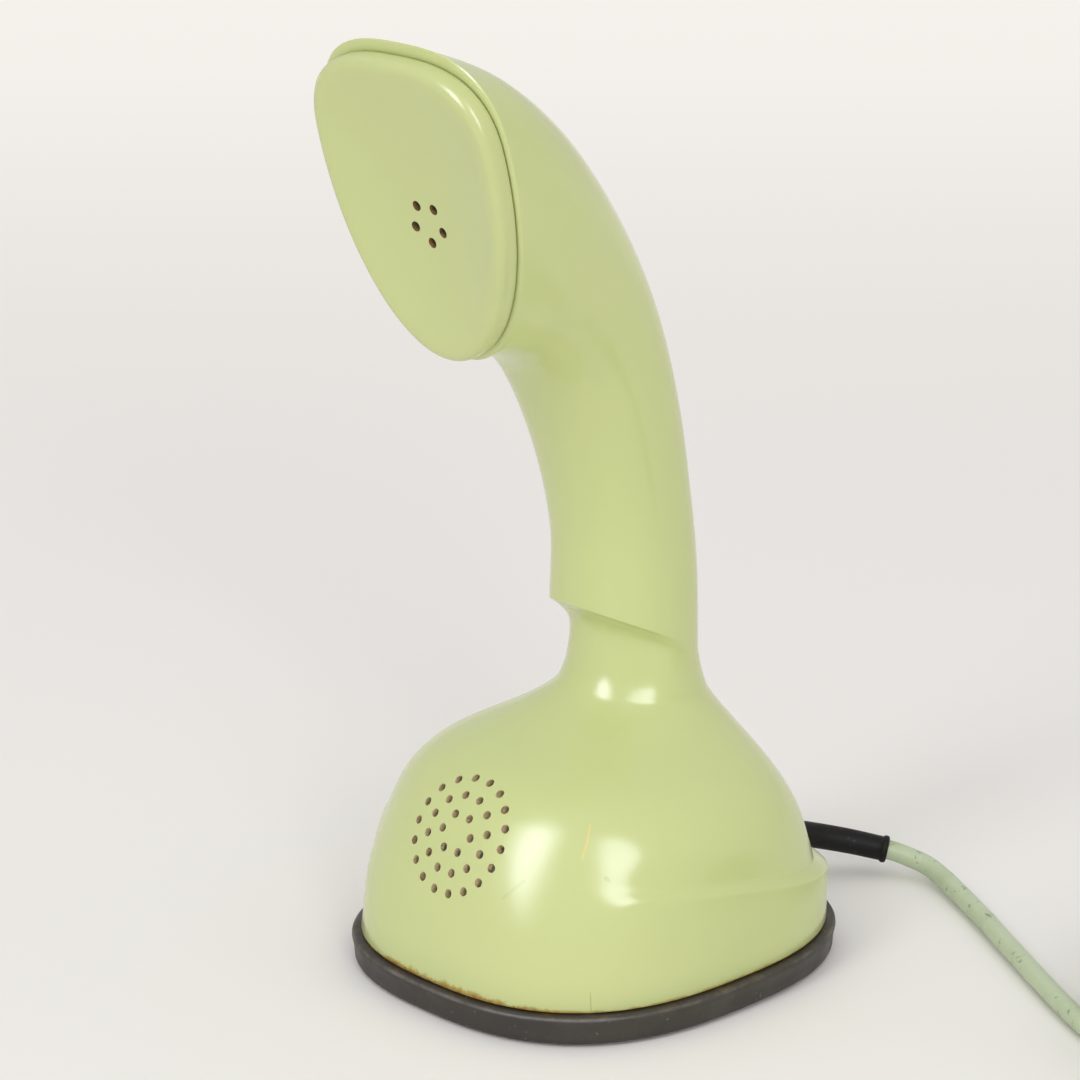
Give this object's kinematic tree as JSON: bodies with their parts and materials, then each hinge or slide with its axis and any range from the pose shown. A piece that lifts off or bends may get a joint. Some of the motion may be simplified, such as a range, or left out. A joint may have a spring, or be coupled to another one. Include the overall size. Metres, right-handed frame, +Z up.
{
  "type": "telephone",
  "caption": "One-piece upright desk telephone: base, handle and earpiece in one body, with the rotary dial and hook button underneath and a cord at the rear.",
  "frame": {"origin": "on the surface that the foot ring stands on, below the middle of the telephone's width and depth, without its cord", "axes": "+Z up, -Y towards the earpiece and mouthpiece, +X to the telephone's left"},
  "size_m": [0.2908, 0.1894, 0.2289],
  "materials": {
    "pale_green_plastic": "glossy pale yellow-green moulded plastic",
    "black_rubber": "dull dark grey-black rubber",
    "green_cord": "satin pale green cord sheath",
    "steel": "bright steel",
    "brass": "polished brass",
    "copper_winding": "enamelled copper wire, wound solid",
    "aluminium": "drawn aluminium",
    "brown_bakelite": "dark brown phenolic",
    "black_plastic": "glossy black plastic",
    "ivory_plastic": "ivory plastic",
    "red_plastic": "glossy red plastic",
    "grey_felt": "pressed grey felt"
  },
  "bodies": {
    "base": {"shell": "pale_green_plastic", "foot_ring": "black_rubber", "base_plate": "black_plastic", "base_screw_1": "steel", "base_screw_2": "steel", "base_screw_3": "steel", "base_screw_4": "steel", "ear_cap": "pale_green_plastic", "receiver_capsule": "aluminium", "receiver_diaphragm": "steel", "receiver_ring": "brass", "transmitter_felt": "grey_felt", "transmitter_capsule": "aluminium", "transmitter_holder": "brown_bakelite", "dial_frame": "steel", "dial_number_plate": "ivory_plastic", "finger_stop": "steel", "dial_bush": "brass", "return_spring": "steel", "contact_block": "brown_bakelite", "contact_blade_1": "brass", "contact_blade_2": "brass", "governor_cup": "brass", "dial_bridge": "steel", "hook_bracket": "steel", "hook_pivot_pin": "steel", "hook_switch_block": "brown_bakelite", "hook_switch_blade_1": "brass", "hook_switch_blade_2": "brass", "coil_core": "steel", "coil_bobbin": "brown_bakelite", "coil_winding": "copper_winding", "capacitor": "aluminium", "terminal_board": "brown_bakelite", "terminal_screw_1": "brass", "terminal_screw_2": "brass", "terminal_screw_3": "brass", "receiver_lead": "black_plastic", "transmitter_lead": "black_plastic", "strain_relief": "black_rubber", "cord_tail": "green_cord", "cord_run": "green_cord", "cord_coil": "green_cord", "plug_body": "black_plastic", "plug_pin_1": "brass", "plug_pin_2": "brass", "hook_spring": "steel"},
    "dial": {"finger_wheel": "black_plastic", "dial_shaft": "steel", "main_gear": "brass"},
    "impulse": {"impulse_shaft": "steel", "impulse_pinion": "steel", "impulse_wheel": "brass", "impulse_cam": "brown_bakelite"},
    "governor": {"governor_shaft": "steel", "governor_pinion": "steel", "governor_weight": "brass"},
    "button": {"hook_button": "red_plastic", "hook_rod": "steel"},
    "lever": {"hook_lever": "steel"}
  },
  "joints": [
    {"name": "dial_turn", "type": "hinge", "parent": "base", "child": "dial", "pos_m": [0, 0.00489, 0.0036], "axis": [0, 0, 1], "range_deg": [0, 330], "stiffness_Nm_per_rad": 0.004, "springref_deg": -34.38},
    {"name": "impulse_turn", "type": "hinge", "parent": "base", "child": "impulse", "pos_m": [0.02368, 0.01351, 0.0155], "axis": [0, 0, 1], "range_deg": [-1320, 0]},
    {"name": "governor_turn", "type": "hinge", "parent": "base", "child": "governor", "pos_m": [0.02091, 0.02922, 0.0199], "axis": [0, 0, 1], "range_deg": [0, 5280]},
    {"name": "button_press", "type": "slide", "parent": "base", "child": "button", "axis": [0, 0, -1], "range_m": [0, 0.0045], "stiffness_N_per_m": 250, "springref_m": 0.006, "deforming": ["hook_spring"]},
    {"name": "lever_tilt", "type": "hinge", "parent": "base", "child": "lever", "pos_m": [-0.012, 0.00489, 0.03425], "axis": [0, 1, 0], "range_deg": [0, 19.9]}
  ],
  "couplings": [
    {"joint": "impulse_turn", "follows": "dial_turn", "ratio": -4},
    {"joint": "governor_turn", "follows": "dial_turn", "ratio": 16},
    {"joint": "lever_tilt", "follows": "button_press", "rad_per_m": 77}
  ]
}
